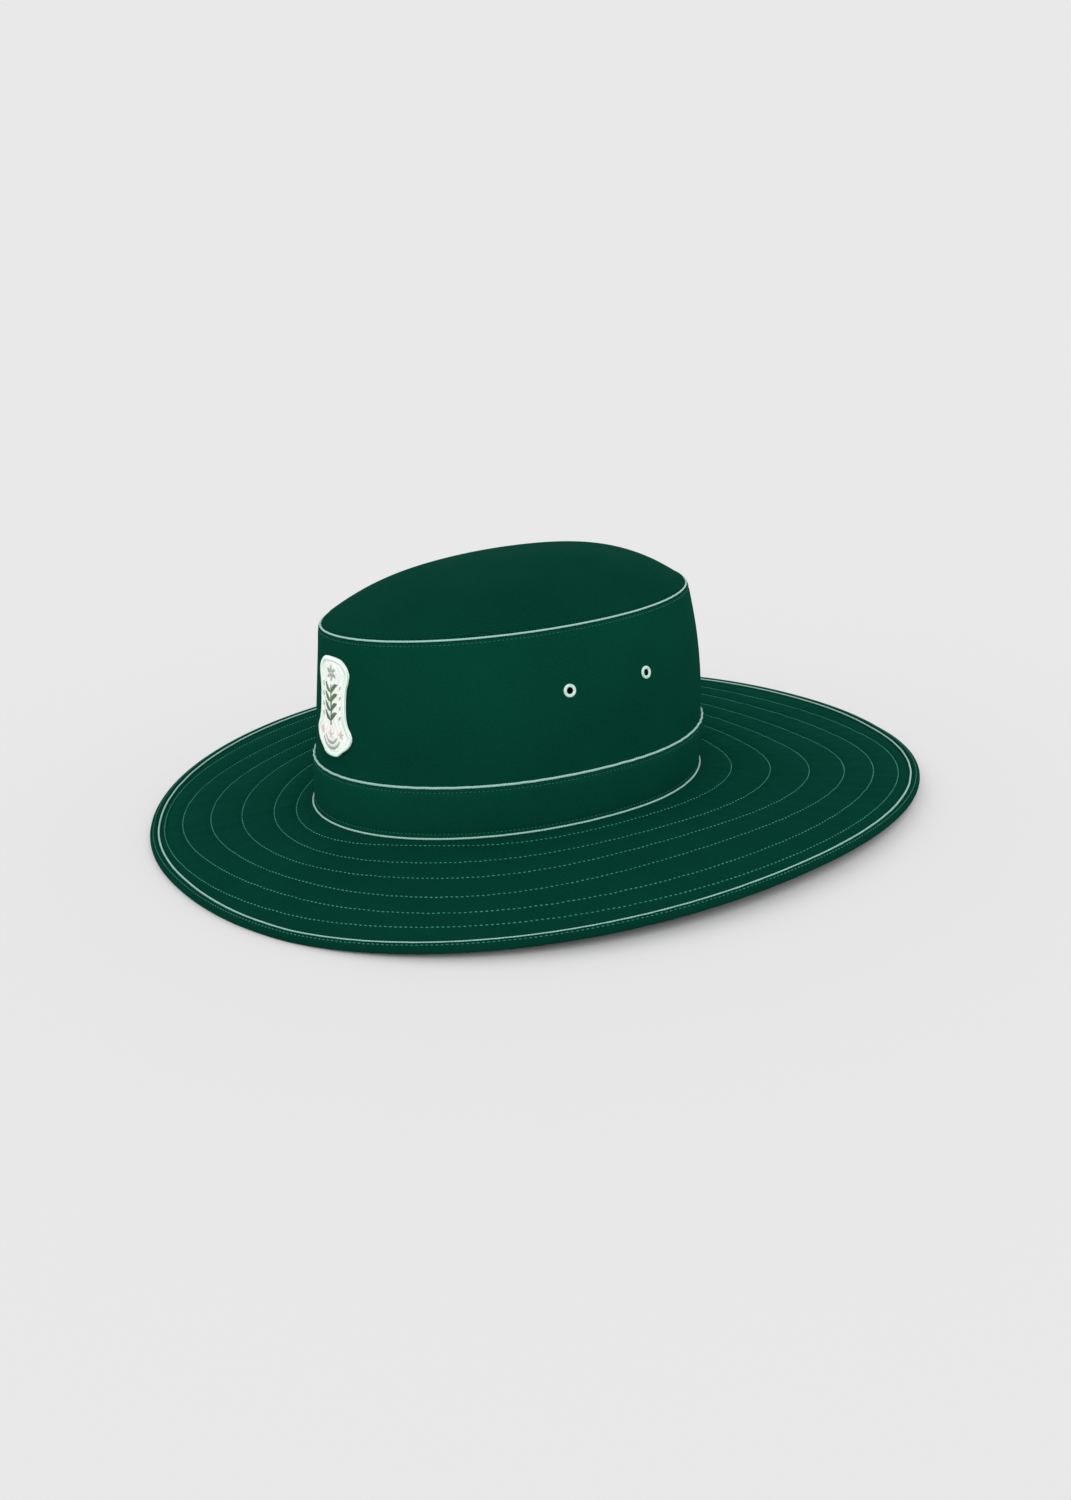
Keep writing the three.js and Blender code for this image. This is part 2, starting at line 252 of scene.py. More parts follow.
# How far out across the brim its rows of stitches lie, as shares of the way, read off the picture.
# A line for each twelfth of the way round, starting at the back and passing the wearer's right,
# and in each line the six rows from the innermost to the outermost.
brimRows = (
    (0.10, 0.24, 0.38, 0.53, 0.69, 0.83),                # back
    (0.12, 0.28, 0.44, 0.60, 0.75, 0.87),
    (0.15, 0.33, 0.49, 0.64, 0.78, 0.89),
    (0.11, 0.27, 0.40, 0.56, 0.73, 0.86),                # right
    (0.12, 0.25, 0.41, 0.56, 0.72, 0.89),
    (0.11, 0.25, 0.45, 0.64, 0.81, 0.92),
    (0.14, 0.27, 0.43, 0.58, 0.73, 0.87),                # front
    (0.07, 0.23, 0.37, 0.53, 0.67, 0.80),
    (0.09, 0.24, 0.39, 0.56, 0.71, 0.83),
    (0.10, 0.26, 0.40, 0.56, 0.74, 0.87),                # left
    (0.16, 0.34, 0.51, 0.66, 0.79, 0.90),
    (0.14, 0.30, 0.46, 0.62, 0.77, 0.89),
)
brimRowCount = len(brimRows[0])
brimSurface = {
    "rowDepth": 0.72,
    "rowWidth": 1.6,
    "puff": 0.30,                     # of the strips between two rows
    "puffReach": 7,
    "crinkle": 0.05,
    "rowCrinkle": 0.25,               # more of it beside each row
    "crinkleWaves": (11, (45, 108), 0.10),
    "besideRow": 3.6,
    "besideWidth": 2.4,
    "slow": 0.32,
    "slowWaves": (12, (2, 8), 0.02),
    "edgeStart": 5,                   # even cloth at the binding and at the crown
    "edgeFade": 5,
    "footStart": 2,
    "footFade": 6,
    "underShare": 0.8,                # of all this on the underside
}


def smoothWaves(turn, count):
    half = count // 2
    return [np.cos(k * turn) for k in range(half + 1)] + [np.sin(k * turn) for k in range(1, half)]


def rowMargin(turn, row):  # a smooth curve through the row's shares
    shares = [line[row] for line in brimRows]
    count = len(shares)
    places = np.arange(count) / count * fullTurn - math.pi
    weights = np.linalg.solve(np.stack(smoothWaves(places, count), -1), shares)
    share = sum(weight * wave for weight, wave in zip(weights, smoothWaves(turn, count)))
    return brimWidth(turn) * (1 - share)


def brimRelief(turn, margin):
    surface = brimSurface
    nearest = np.full(np.broadcast(turn, margin).shape, np.inf)
    for row in range(brimRowCount):
        nearest = np.minimum(nearest, np.abs(margin - rowMargin(turn, row)))
    pinched = -surface["rowDepth"] * groove(nearest, surface["rowWidth"])
    puffed = surface["puff"] * np.clip(nearest / surface["puffReach"], 0, 1)
    besideRow = groove(nearest - surface["besideRow"], surface["besideWidth"])
    crinkleHeight = surface["crinkle"] + surface["rowCrinkle"] * besideRow
    crinkle = crinkleHeight * ripple(turn, margin, *surface["crinkleWaves"])
    slow = surface["slow"] * ripple(turn, margin, *surface["slowWaves"])
    fromFoot = brimWidth(turn) - margin
    edgeFade = np.clip((margin - surface["edgeStart"]) / surface["edgeFade"], 0, 1)
    footFade = np.clip((fromFoot - surface["footStart"]) / surface["footFade"], 0, 1)
    return (pinched + puffed + crinkle + slow) * (edgeFade * footFade)


# Meshes from grids of points

def newObject(name, data):
    made = bpy.data.objects.new(name, data)
    bpy.context.scene.collection.objects.link(made)
    return made


def makeCloth(name, places, faces, uvs):
    mesh = bpy.data.meshes.new(name)
    mesh.from_pydata((places * mm).tolist(), [], faces)
    mesh.uv_layers.new(name="cloth").data.foreach_set("uv", (np.array(uvs) * mm).ravel())
    mesh.polygons.foreach_set("use_smooth", np.ones(len(mesh.polygons), bool))
    mesh.update()
    return newObject(name, mesh)


def signedVolume(places, faces):
    total = 0.0
    for corners in (faces[:, [0, 1, 2]], faces[:, [0, 2, 3]]):
        a, b, c = (places[corners[:, k]] for k in range(3))
        total += float(np.einsum("ij,ij->", a, np.cross(b, c)))
    return total


def gridObject(name, grid, poles=None):
    # grid[i, j] goes round the piece with i and across it with j, back to its start or from pole to pole
    rounds, steps = grid.shape[:2]
    strips = steps if poles is None else steps - 1
    i, j = (index.ravel() for index in np.meshgrid(np.arange(rounds), np.arange(strips), indexing="ij"))
    ahead, over = (i + 1) % rounds, (j + 1) % steps
    faces = np.stack([i * steps + j, ahead * steps + j, ahead * steps + over, i * steps + over], 1)
    roundLength = np.linalg.norm(np.roll(grid, -1, 0) - grid, axis=2).mean(1)
    u = np.concatenate([[0], np.cumsum(roundLength)])
    acrossLength = np.linalg.norm(np.roll(grid, -1, 1) - grid, axis=2).mean(0)
    v = np.concatenate([[0], np.cumsum(acrossLength)])
    uvs = np.stack([np.stack([u[i + di], v[j + dj]], 1) for di, dj in ((0, 0), (1, 0), (1, 1), (0, 1))], 1)
    places = grid.reshape(-1, 3)
    if signedVolume(places, faces) < 0:
        faces, uvs = faces[:, ::-1], uvs[:, ::-1]
    faceList, uvList = faces.tolist(), uvs.reshape(-1, 2).tolist()
    if poles is not None:
        firstPole, lastPole = len(places), len(places) + 1
        places = np.concatenate([places, poles])
        for k in range(rounds):
            nextRound = (k + 1) % rounds
            faceList.append([firstPole, k * steps, nextRound * steps])
            faceList.append([lastPole, nextRound * steps + steps - 1, k * steps + steps - 1])
            uvList += [[u[k], 0.0]] * 3 + [[u[k], v[-1]]] * 3
    return makeCloth(name, places, faceList, uvList)


def turnsOf(count):
    return (np.arange(count) / count * fullTurn)[:, None]


def finishPiece(piece, material, slot, *nodes):
    if material is not None:
        piece.data.materials.clear()
        piece.data.materials.append(material)
    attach(piece, "root")
    if nodes:
        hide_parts(*nodes)


# Materials

def setInputs(tree, node, inputs):
    for name, value in inputs.items():
        if isinstance(value, bpy.types.NodeSocket):
            tree.links.new(value, node.inputs[name])
        else:
            node.inputs[name].default_value = value


def addNode(tree, kind, inputs, **settings):
    node = tree.nodes.new(kind)
    for name, value in settings.items():
        setattr(node, name, value)
    setInputs(tree, node, inputs)
    return node


def startMaterial(name, roughness, specular, sheen=0.0, sheenTint=(1, 1, 1)):
    material = bpy.data.materials.new(name)
    material.use_nodes = True
    tree = material.node_tree
    shader = tree.nodes["Principled BSDF"]
    setInputs(tree, shader, {
        "Roughness": roughness, "Specular IOR Level": specular,
        "Sheen Weight": sheen, "Sheen Roughness": 0.5, "Sheen Tint": (*sheenTint, 1)})
    return material, tree, shader, addNode(tree, "ShaderNodeTexCoord", {}).outputs


def linearColour(*screen):  # from the usual 0 to 255 screen values
    def linear(value):
        return ((value / 255 + 0.055) / 1.055) ** 2.4 if value > 10 else value / 255 / 12.92

    return (*map(linear, screen), 1)


def blended(tree, factor, first, second):
    ends = [linearColour(*end) if isinstance(end, tuple) else end for end in (first, second)]
    return addNode(tree, "ShaderNodeMix", {0: factor, 6: ends[0], 7: ends[1]}, data_type="RGBA").outputs[2]


def combined(tree, operation, *values):
    return addNode(tree, "ShaderNodeMath", dict(enumerate(values)), operation=operation).outputs[0]


def ranged(tree, value, start, end, low=0.0, high=1.0):
    return addNode(tree, "ShaderNodeMapRange", {
        "Value": value, "From Min": start, "From Max": end, "To Min": low, "To Max": high}).outputs[0]


def noise(tree, where, scale, detail):
    return addNode(tree, "ShaderNodeTexNoise", {
        "Vector": where, "Scale": scale, "Detail": detail}).outputs["Fac"]


def ribs(tree, where, pitch, direction, inputs):
    waveLength = 0.314                # of Blender's wave texture at scale 1
    return addNode(tree, "ShaderNodeTexWave", {
        "Vector": where, "Scale": waveLength / pitch, **inputs}, bands_direction=direction).outputs["Fac"]


def slanted(tree, where, angle):
    return addNode(tree, "ShaderNodeMapping", {"Vector": where, "Rotation": (0, 0, angle)}).outputs[0]


def bumped(tree, height, grain):
    return addNode(tree, "ShaderNodeBump", {
        "Height": height, "Strength": grain["bump"], "Distance": grain["bumpHeight"]}).outputs[0]


drill = {
    "ribPitch": 0.00066,              # metres between the slanting ribs
    "yarnPitch": 0.0004,              # and between the yarns that cross them
    "slant": math.radians(32),        # of the ribs from upright
    "ribWander": {"Distortion": 0.9, "Detail": 1.0, "Detail Scale": 2.0},
    "yarnWander": {"Distortion": 0.6},
    "yarnShare": 0.45,
    "slubScale": 900,
    "bump": 0.4,
    "bumpHeight": 0.00014,
    "fadeScale": 26,
    "fadeRange": (0.35, 0.7),
    # the weave's high points, yarn tops and slubs, are painted paler: painted light on the raised yarns,
    # painted shade in the hollows
    "weaveLightRange": (0.5, 1.85, 0.0, 0.75),
    "roughness": 0.9,
    "sheen": 0.035,
    "sheenTint": (0.02, 0.72, 0.5),
    "specular": 0.004,
}


def cottonDrill(name, colour, litColour, deeper, coordinates):
    material, tree, shader, place = startMaterial(
        name, drill["roughness"], drill["specular"], drill["sheen"], drill["sheenTint"])
    where = place[coordinates]
    drillRibs = ribs(tree, slanted(tree, where, drill["slant"]), drill["ribPitch"], "X", drill["ribWander"])
    yarns = ribs(tree, where, drill["yarnPitch"], "Y", drill["yarnWander"])
    weave = combined(tree, "MULTIPLY_ADD", yarns, drill["yarnShare"], drillRibs)
    height = combined(tree, "ADD", weave, noise(tree, where, drill["slubScale"], 2.0))
    fade = ranged(tree, noise(tree, place["Object"], drill["fadeScale"], 3.0), *drill["fadeRange"])
    # painted light: the raised yarns paler, the hollows between them darker
    weaveLight = ranged(tree, height, *drill["weaveLightRange"])
    mixed = blended(tree, weaveLight, blended(tree, fade, deeper, colour), litColour)
    setInputs(tree, shader, {"Base Color": mixed, "Normal": bumped(tree, height, drill)})
    return material


def twoTone(name, grain, roughness, coordinates, makeHeight, colour, shade):
    material, tree, shader, place = startMaterial(name, roughness, grain["specular"], grain["sheen"])
    height = makeHeight(tree, place[coordinates])
    patches = noise(tree, place[coordinates], grain["patchScale"], grain["patchDetail"])
    level = ranged(tree, combined(tree, "MULTIPLY", height, patches), *grain["levels"])
    mixed = blended(tree, level, shade, colour)
    setInputs(tree, shader, {"Base Color": mixed, "Normal": bumped(tree, height, grain)})
    return material


threadGrain = {
    "fibreScale": 2600,
    "patchScale": 120,
    "patchDetail": 1.0,
    "levels": (0.12, 0.36),
    "bump": 0.4,
    "bumpHeight": 0.0001,
    "sheen": 0.05,
    "specular": 0.15,
}


def twistedThread(name, colour, shade, roughness=0.6):
    def fibres(tree, where):
        return noise(tree, where, threadGrain["fibreScale"], 2.0)

    return twoTone(name, threadGrain, roughness, "Object", fibres, colour, shade)


cordGrain = {
    "ribPitch": 0.0011,               # metres, along the cord
    "slant": math.radians(38),
    "wander": {"Distortion": 0.8, "Detail": 1.0},
    "patchScale": 300,
    "patchDetail": 2.0,
    "levels": (0.05, 0.5),
    "bump": 0.5,
    "bumpHeight": 0.00015,
    "roughness": 0.75,
    "sheen": 0.2,
    "specular": 0.2,
}


def coveredCord(name, colour, shade):  # bias-cut cotton round a cord
    def twist(tree, where):
        turned = slanted(tree, where, cordGrain["slant"])
        return ribs(tree, turned, cordGrain["ribPitch"], "X", cordGrain["wander"])

    return twoTone(name, cordGrain, cordGrain["roughness"], "UV", twist, colour, shade)


enamel = {
    "colour": (206, 228, 218),
    "worn": (168, 204, 190),
    "wornRange": (0.35, 0.65),
    "speckScale": 700,
    "gloss": (0.22, 0.42),
    "bump": 0.08,
    "bumpHeight": 0.0001,
    "barrelShade": (10, 34, 27),         # painted shade inside the bore, dark
    "barrelShadeRange": (0.00735, 0.0076),  # metres along the ring's profile, where the painted shade comes in
    "roughness": 0.3,                 # until the specks set it
    "specular": 0.5,
}


def paleEnamel():
    material, tree, shader, place = startMaterial("pale_enamel", enamel["roughness"], enamel["specular"])
    speck = noise(tree, place["Object"], enamel["speckScale"], 3.0)
    paint = blended(tree, ranged(tree, speck, *enamel["wornRange"]), enamel["worn"], enamel["colour"])
    along = addNode(tree, "ShaderNodeSeparateXYZ", {0: place["UV"]}).outputs["Y"]
    # inside the barrel the enamel's colour gives way to painted shade, standing in for the dark hole
    setInputs(tree, shader, {
        "Base Color": blended(tree, ranged(tree, along, *enamel["barrelShadeRange"]), paint, enamel["barrelShade"]),
        "Roughness": ranged(tree, speck, 0.0, 1.0, *enamel["gloss"]),
        "Normal": bumped(tree, speck, enamel)})
    return material


finishes = {
    # one cotton in lit and shaded copies: the tip and brim are painted darker to offset the light from
    # above, the band painted lighter to offset the shade it sits in
    "wall": cottonDrill("crown_cotton", (3, 51, 39), (9, 69, 53), (2, 44, 33), "UV"),
    "band": cottonDrill("band_cotton", (4, 55, 42), (10, 73, 56), (3, 48, 36), "UV"),
    "tip": cottonDrill("tip_cotton", (3, 44, 33), (8, 62, 47), (2, 38, 28), "Object"),
    "brim": cottonDrill("brim_cotton", (3, 46, 36), (8, 64, 50), (2, 40, 31), "Object"),
    "binding": cottonDrill("binding_tape", (3, 44, 33), (8, 60, 46), (2, 38, 28), "UV"),
    "piping": coveredCord("pale_piping", (158, 203, 191), (124, 173, 159)),
    "enamel": paleEnamel(),
    "thread": twistedThread("green_thread", (59, 148, 130), (35, 114, 98)),
    "tapeThread": twistedThread("tape_thread", (46, 132, 114), (28, 102, 86)),
    "deepThread": twistedThread("deep_green_thread", (24, 104, 82), (12, 82, 64)),
    "mint": twistedThread("mint_thread", (240, 252, 246), (218, 240, 229), 0.5),
    "pink": twistedThread("pink_thread", (236, 214, 214), (220, 194, 197), 0.5),
    "white": twistedThread("white_thread", (254, 255, 252), (236, 242, 236), 0.5),
    "grey": twistedThread("grey_thread", (186, 192, 188), (158, 166, 160), 0.5),
    "sage": twistedThread("sage_thread", (112, 138, 108), (80, 106, 80), 0.5),
}
print("materials ready")


# Camera: the picture's own angle, fitted to the hat's outlines

cameraFit = {
    "azimuth": 55.13,
    "elevation": 16.53,
    "roll": 3.78,
    "distance": 623.7,
    "targetY": -3.7,
    "targetZ": 46.1,
    "focalPixels": 1195.5,
    "hatRight": -10.9,                # how far the picture's frame sits off the lens's axis, in pixels
    "hatUp": 53.0,
    "frameHeight": 1500,
    "sensor": 36,
}


def outFromHat(turn, rise):
    return Vector((math.sin(turn) * math.cos(rise), -math.cos(turn) * math.cos(rise), math.sin(rise)))


def placeCamera(fit):
    azimuth, elevation, roll = (math.radians(fit[key]) for key in ("azimuth", "elevation", "roll"))
    back = outFromHat(azimuth, elevation)
    right = Vector((math.cos(azimuth), math.sin(azimuth), 0))
    up = back.cross(right)
    turned = (right * math.cos(roll) - up * math.sin(roll),
              right * math.sin(roll) + up * math.cos(roll), back)
    place = Vector((0, fit["targetY"], fit["targetZ"])) * mm + back * fit["distance"] * mm
    lens = bpy.data.cameras.new("camera")
    camera = newObject("camera", lens)
    camera.matrix_world = Matrix.Translation(place) @ Matrix(turned).transposed().to_4x4()
    lens.sensor_width = fit["sensor"]
    lens.lens = fit["focalPixels"] * fit["sensor"] / fit["frameHeight"]
    lens.shift_x = -fit["hatRight"] / fit["frameHeight"]
    lens.shift_y = -fit["hatUp"] / fit["frameHeight"]
    lens.clip_start = 0.01
    bpy.context.scene.camera = camera


placeCamera(cameraFit)


# Crown

tipShape = {
    "rounds": 640,
    "outerRings": 40,
    "innerRings": 16,
    "ringReach": (0.012, 0.965),      # the first and last ring, as shares of the way out
    "ringPower": 0.8,
    "foldRise": 1.5,
    "hemRows": 5,
    "slow": 0.35,
    "slowSpan": 30,
    "slowWaves": ((1.7, 0.9, 0.4), (-0.8, 1.6, 2.1), (2.3, -1.9, 0.0)),  # along X, along Y, start
    "pucker": 0.14,
    "puckerWidth": 9,
    "puckerWaves": (21, (60, 105), 0.4),
    "usualReach": 85,
    "rimFade": 3,
}


def tipRelief(turn, share):
    shape = tipShape
    place = domePoint(turn, share)
    x, y = place[..., 0] / shape["slowSpan"], place[..., 1] / shape["slowSpan"]
    waves = [np.sin(alongX * x + alongY * y + start) for alongX, alongY, start in shape["slowWaves"]]
    fromRim = (1 - share) * shape["usualReach"]
    pucker = shape["pucker"] * ripple(turn, share, *shape["puckerWaves"])
    relief = shape["slow"] * sum(waves) + pucker * groove(fromRim, shape["puckerWidth"])
    return relief * np.clip(fromRim / shape["rimFade"], 0, 1)


def domeHeight(turn, place):
    edge = wallPoint(turn, rimHeight)
    reach = np.hypot(edge[..., 0], edge[..., 1] - tipMiddle)
    share = np.hypot(place[..., 0], place[..., 1] - tipMiddle) / reach
    return domePoint(turn, share)[..., 2]


def crownTip(shape):
    turn = turnsOf(shape["rounds"])

    def fold(outward, drop):
        place = crownPoint(turn, rimHeight + shape["foldRise"] + 0 * turn, outward)
        place[..., 2] = domeHeight(turn, place) - drop
        return place

    def rings(count):
        return np.linspace(*shape["ringReach"], count)[None, :] ** shape["ringPower"]

    outerShare, innerShare = rings(shape["outerRings"]), rings(shape["innerRings"])[:, ::-1]
    outer = domePoint(turn, outerShare)
    outer[..., 2] += tipRelief(turn, outerShare)
    inner = domePoint(turn, innerShare) - domeNormal(turn, innerShare) * clothSize["tip"]
    inner[..., 2] += tipRelief(turn, innerShare)
    hemHeights = np.linspace(wallTop, clothSize["hemEnd"], shape["hemRows"])[None, :]
    grid = np.concatenate([
        outer, fold(hemOut, 0), crownPoint(turn, hemHeights, hemOut),
        crownPoint(turn, hemHeights[:, ::-1], hemIn), fold(hemIn, clothSize["tip"]), inner], axis=1)
    zero = np.array(0.0)
    top = domePoint(zero, zero) + points(0, 0, tipRelief(zero, zero))
    return gridObject("crown_tip_cloth", grid, np.stack([top, top - (0, 0, clothSize["tip"])]))


wallShape = {
    "rounds": 640,
    "rows": 38,
    "crowding": 0.5,                  # of the rows towards both seams
    "innerRows": 14,
    "innerCrowding": 0.3,
    "holeRadius": 2.3,
    "holeSides": 32,
    "punchLength": 8,
}


def wallHeights(count, low, high, crowding):
    even = np.linspace(-1, 1, count)
    spread = np.sin(even * math.pi / 2) * crowding + even * (1 - crowding)
    return (low + (high - low) * (spread + 1) / 2)[None, :]


def finishedMesh(piece):  # with its modifiers worked in
    bpy.context.view_layer.update()
    evaluated = piece.evaluated_get(bpy.context.evaluated_depsgraph_get())
    return bpy.data.meshes.new_from_object(evaluated)


def eyeletSpot(place):  # an eyelet's middle and the way it faces
    turn, height = np.array(place), np.array(eyeletPlace["height"])
    return crownPoint(turn, height, 0.0), wallNormal(turn, height)


def punchHoles(piece, shape):
    for place in eyeletTurns.values():
        centre, outward = eyeletSpot(place)
        bpy.ops.mesh.primitive_cylinder_add(
            vertices=shape["holeSides"], radius=shape["holeRadius"] * mm, depth=shape["punchLength"] * mm)
        punch = bpy.context.object
        facing = Vector(outward).to_track_quat("Z", "Y").to_matrix().to_4x4()
        punch.matrix_world = Matrix.Translation(Vector(centre) * mm) @ facing
        cut = piece.modifiers.new("hole", "BOOLEAN")
        cut.operation = "DIFFERENCE"
        cut.object = punch
        cut.solver = "EXACT"
        cutMesh = finishedMesh(piece)
        piece.modifiers.clear()
        piece.data = cutMesh
        bpy.data.objects.remove(punch)


def crownWall(shape):
    turn = turnsOf(shape["rounds"])
    foot = seamGap
    heights = wallHeights(shape["rows"], foot, wallTop, shape["crowding"])
    innerHeights = wallHeights(shape["innerRows"], foot, wallTop, shape["innerCrowding"])[:, ::-1]
    outer = crownPoint(turn, heights, 0.0)
    inner = crownPoint(turn, innerHeights, -clothSize["wall"])
    outer[:, 0, 2] = inner[:, -1, 2] = wallPoint(turn, foot)[:, 0, 2]
    piece = gridObject("crown_wall_cloth", np.concatenate([outer, inner], axis=1))
    punchHoles(piece, shape)
    return piece


bandShape = {
    "rounds": 720,
    "rows": 26,
    "crowding": 0.75,
    "innerRows": 5,
    "edgeRound": 0.45,
    "roundWidth": 0.7,
    "puff": 0.28,
    "puffPower": 0.6,
    "rowDepth": 0.25,
    "rowWidth": 0.8,
    "crinkle": 0.03,
    "rowCrinkle": 0.07,               # more of it beside each row
    "besideWidth": 4,
    "crinkleWaves": (31, (60, 120), 0.12),
}


def bandRelief(turn, height):
    shape = bandShape
    upper = clothSize["bandHeight"] - stitchRows["underBandTop"]
    lower = stitchRows["overBandFoot"]

    def besideRows(width):
        return groove(height - upper, width) + groove(height - lower, width)

    between = np.clip((height - lower) / (upper - lower), 0, 1)
    puff = shape["puff"] * np.sin(np.pi * between) ** shape["puffPower"]
    crinkleHeight = shape["crinkle"] + shape["rowCrinkle"] * besideRows(shape["besideWidth"])
    crinkle = crinkleHeight * ripple(turn, height, *shape["crinkleWaves"])
    return puff + crinkle - shape["rowDepth"] * besideRows(shape["rowWidth"])


def bandPoint(turn, height, outward):
    return crownPoint(turn, height, outward + bandRelief(turn, height))


def hatBand(shape):
    turn = turnsOf(shape["rounds"])
    foot, top = seamGap, clothSize["bandHeight"]
    heights = wallHeights(shape["rows"], foot, top, shape["crowding"])
    fromEdge = np.minimum(heights - foot, top - heights)
    rounding = shape["edgeRound"] * np.clip(1 - fromEdge / shape["roundWidth"], 0, 1) ** 2
    outer = bandPoint(turn, heights, seamGap + clothSize["band"] - rounding)
    inner = crownPoint(turn, np.linspace(top, foot, shape["innerRows"])[None, :], seamGap)
    outer[:, 0, 2] = inner[:, -1, 2] = wallPoint(turn, foot)[:, 0, 2]
    return gridObject("hat_band_cloth", np.concatenate([outer, inner], axis=1))


# Brim

brimShape = {
    "rounds": 640,
    "topSteps": (0, 0.05, 0.12, 0.24, 0.42, 0.6, 0.78, 0.89, 0.96),  # across each strip between two rows
    "underSteps": (0, 0.08, 0.22, 0.5, 0.78, 0.93),
    "edgeMargins": (8.2, 7, 6, 5, 3, 1.3),
}


def stripMargins(turn, steps):
    lines = [brimWidth(turn)] + [rowMargin(turn, row) for row in range(brimRowCount)]
    lines.append(np.full_like(turn, brimShape["edgeMargins"][0]))
    strips = zip(lines, lines[1:])
    margins = [first + (second - first) * step for first, second in strips for step in steps]
    margins += [np.full_like(turn, float(margin)) for margin in brimShape["edgeMargins"]]
    return np.concatenate(margins, axis=1)


def brimCloth(shape):
    turn = turnsOf(shape["rounds"])
    foot = wallPoint(turn, 0)[..., 2]
    topMargins = stripMargins(turn, shape["topSteps"])
    underMargins = stripMargins(turn, shape["underSteps"])[:, ::-1]
    top = brimPoint(turn, topMargins, 1)
    top[..., 2] += brimRelief(turn, topMargins)
    under = brimPoint(turn, underMargins, -1)
    under[..., 2] -= brimRelief(turn, underMargins) * brimSurface["underShare"]
    hemHeights = np.array([[clothSize["brimHem"], clothSize["brimHem"] / 2]])
    hemCorner = crownPoint(turn, 0 * turn, hemOut)
    hemCorner[..., 2] = foot
    underCorner = crownPoint(turn, 0 * turn, hemIn)
    underCorner[..., 2] = foot - clothSize["brim"]
    grid = np.concatenate([
        crownPoint(turn, hemHeights, hemOut), hemCorner, top, under, underCorner,
        crownPoint(turn, hemHeights[:, ::-1], hemIn)], axis=1)
    return gridObject("brim_cloth", grid)


bindingShape = {
    "rounds": 900,
    "legSteps": 12,
    "legRound": 0.4,
    "roundWidth": 0.6,
    "edgeSteps": 9,
    "edgePower": 0.8,
    "rowDepth": 0.22,
    "rowWidth": 0.6,
    "puff": 0.16,
    "puffFromRow": 1.3,
    "puffWidth": 0.8,
    "crinkle": 0.05,
    "crinkleWaves": (41, (100, 170), 0.3),
}


def bindingRelief(turn, margin):
    shape = bindingShape
    fromRow = margin - stitchRows["onBinding"]
    pinch = shape["rowDepth"] * groove(fromRow, shape["rowWidth"])
    puff = shape["puff"] * groove(np.abs(fromRow) - shape["puffFromRow"], shape["puffWidth"])
    crinkle = shape["crinkle"] * ripple(turn, margin, *shape["crinkleWaves"])
    return puff + crinkle - pinch


def brimBinding(shape):
    turn = turnsOf(shape["rounds"])
    width, thick = clothSize["bindingWidth"], clothSize["binding"] + seamGap
    legs = np.linspace(width, thick, shape["legSteps"])[None, :]
    legRound = shape["legRound"] * np.clip(1 - (width - legs) / shape["roundWidth"], 0, 1) ** 2
    upper = brimPoint(turn, legs, 1, thick - legRound)
    upper[..., 2] += bindingRelief(turn, legs)
    angles = np.linspace(0, math.pi, shape["edgeSteps"] + 2)[1:-1][None, :]
    halfHeight = clothSize["boundEdge"] / 2 + thick
    edge = brimPoint(turn, thick * (1 - np.sin(angles)), 1)
    edge[..., 2] = edgeMiddle(turn) + halfHeight * signedPower(np.cos(angles), shape["edgePower"])
    lower = brimPoint(turn, legs[:, ::-1], -1, thick - legRound[:, ::-1])
    innerLegs = np.array([[width, (width + thick) / 2, clothSize["binding"]]])
    innerLower = brimPoint(turn, innerLegs, -1, seamGap)
    innerUpper = brimPoint(turn, innerLegs[:, ::-1], 1, seamGap)
    grid = np.concatenate([upper, edge, lower, innerLower, innerUpper], axis=1)
    return gridObject("brim_binding_tape", grid)


for piece, finish, slot, node in (
        (crownTip(tipShape), "tip", "crown_cotton", "crown_tip"),
        (crownWall(wallShape), "wall", "crown_cotton", "crown_wall"),
        (hatBand(bandShape), "band", "crown_cotton", "hat_band"),
        (brimCloth(brimShape), "brim", "brim_cotton", "brim"),
        (brimBinding(bindingShape), "binding", "binding_tape", "brim_binding")):
    finishPiece(piece, finishes[finish], slot, node)
print("cloth ready")


# Piping

cordShape = {
    "rounds": 900,
    "sides": 10,
    "pinch": 0.025,
    "pinchWaves": (110, 220),
    "wander": 0.04,
    "wanderWaves": (20, 70),
    "firstSeed": 50,
}


def cordRing(name, centres, radius, seed):
    shape = cordShape
    turn = turnsOf(shape["rounds"])
    outward = wallNormal(turn, 0 * turn)
    outward[..., 2] = 0
    outward = unit(outward)
    angle = (np.arange(shape["sides"]) / shape["sides"] * fullTurn)[None, :]
    swell = radius * (1 + shape["pinch"] * ripple(turn, 0, seed, shape["pinchWaves"]))
    wander = shape["wander"] * ripple(turn, 0, seed + 1, shape["wanderWaves"])
    centres = centres + outward * wander[..., None]
    grid = centres + outward * (swell * np.cos(angle))[..., None] + points(0, 0, swell * np.sin(angle))
    return gridObject(name, grid)


def tipCordMiddle(turn):
    return crownPoint(turn, rimHeight + 0 * turn, pipingRadius["tip"] - clothSize["wall"])


def bandCordMiddle(turn):
    clear = seamGap + pipingRadius["band"]
    return crownPoint(turn, clothSize["bandHeight"] + clear + 0 * turn, clear)


def footCordMiddle(turn):
    clear = seamGap + pipingRadius["foot"]
    outward = seamGap + clothSize["band"] + clear
    place = crownPoint(turn, clear + pipingRadius["foot"] + 0 * turn, outward)
    foot = wallPoint(turn, 0)
    fromWall = np.hypot(place[..., 0] - foot[..., 0], place[..., 1] - foot[..., 1])
    return brimPoint(turn, brimWidth(turn) - fromWall, 1, clear)


def brimCordMiddle(turn):
    clear = seamGap + pipingRadius["brim"]
    return brimPoint(turn, clothSize["bindingWidth"] + clear + 0 * turn, 1, clear)


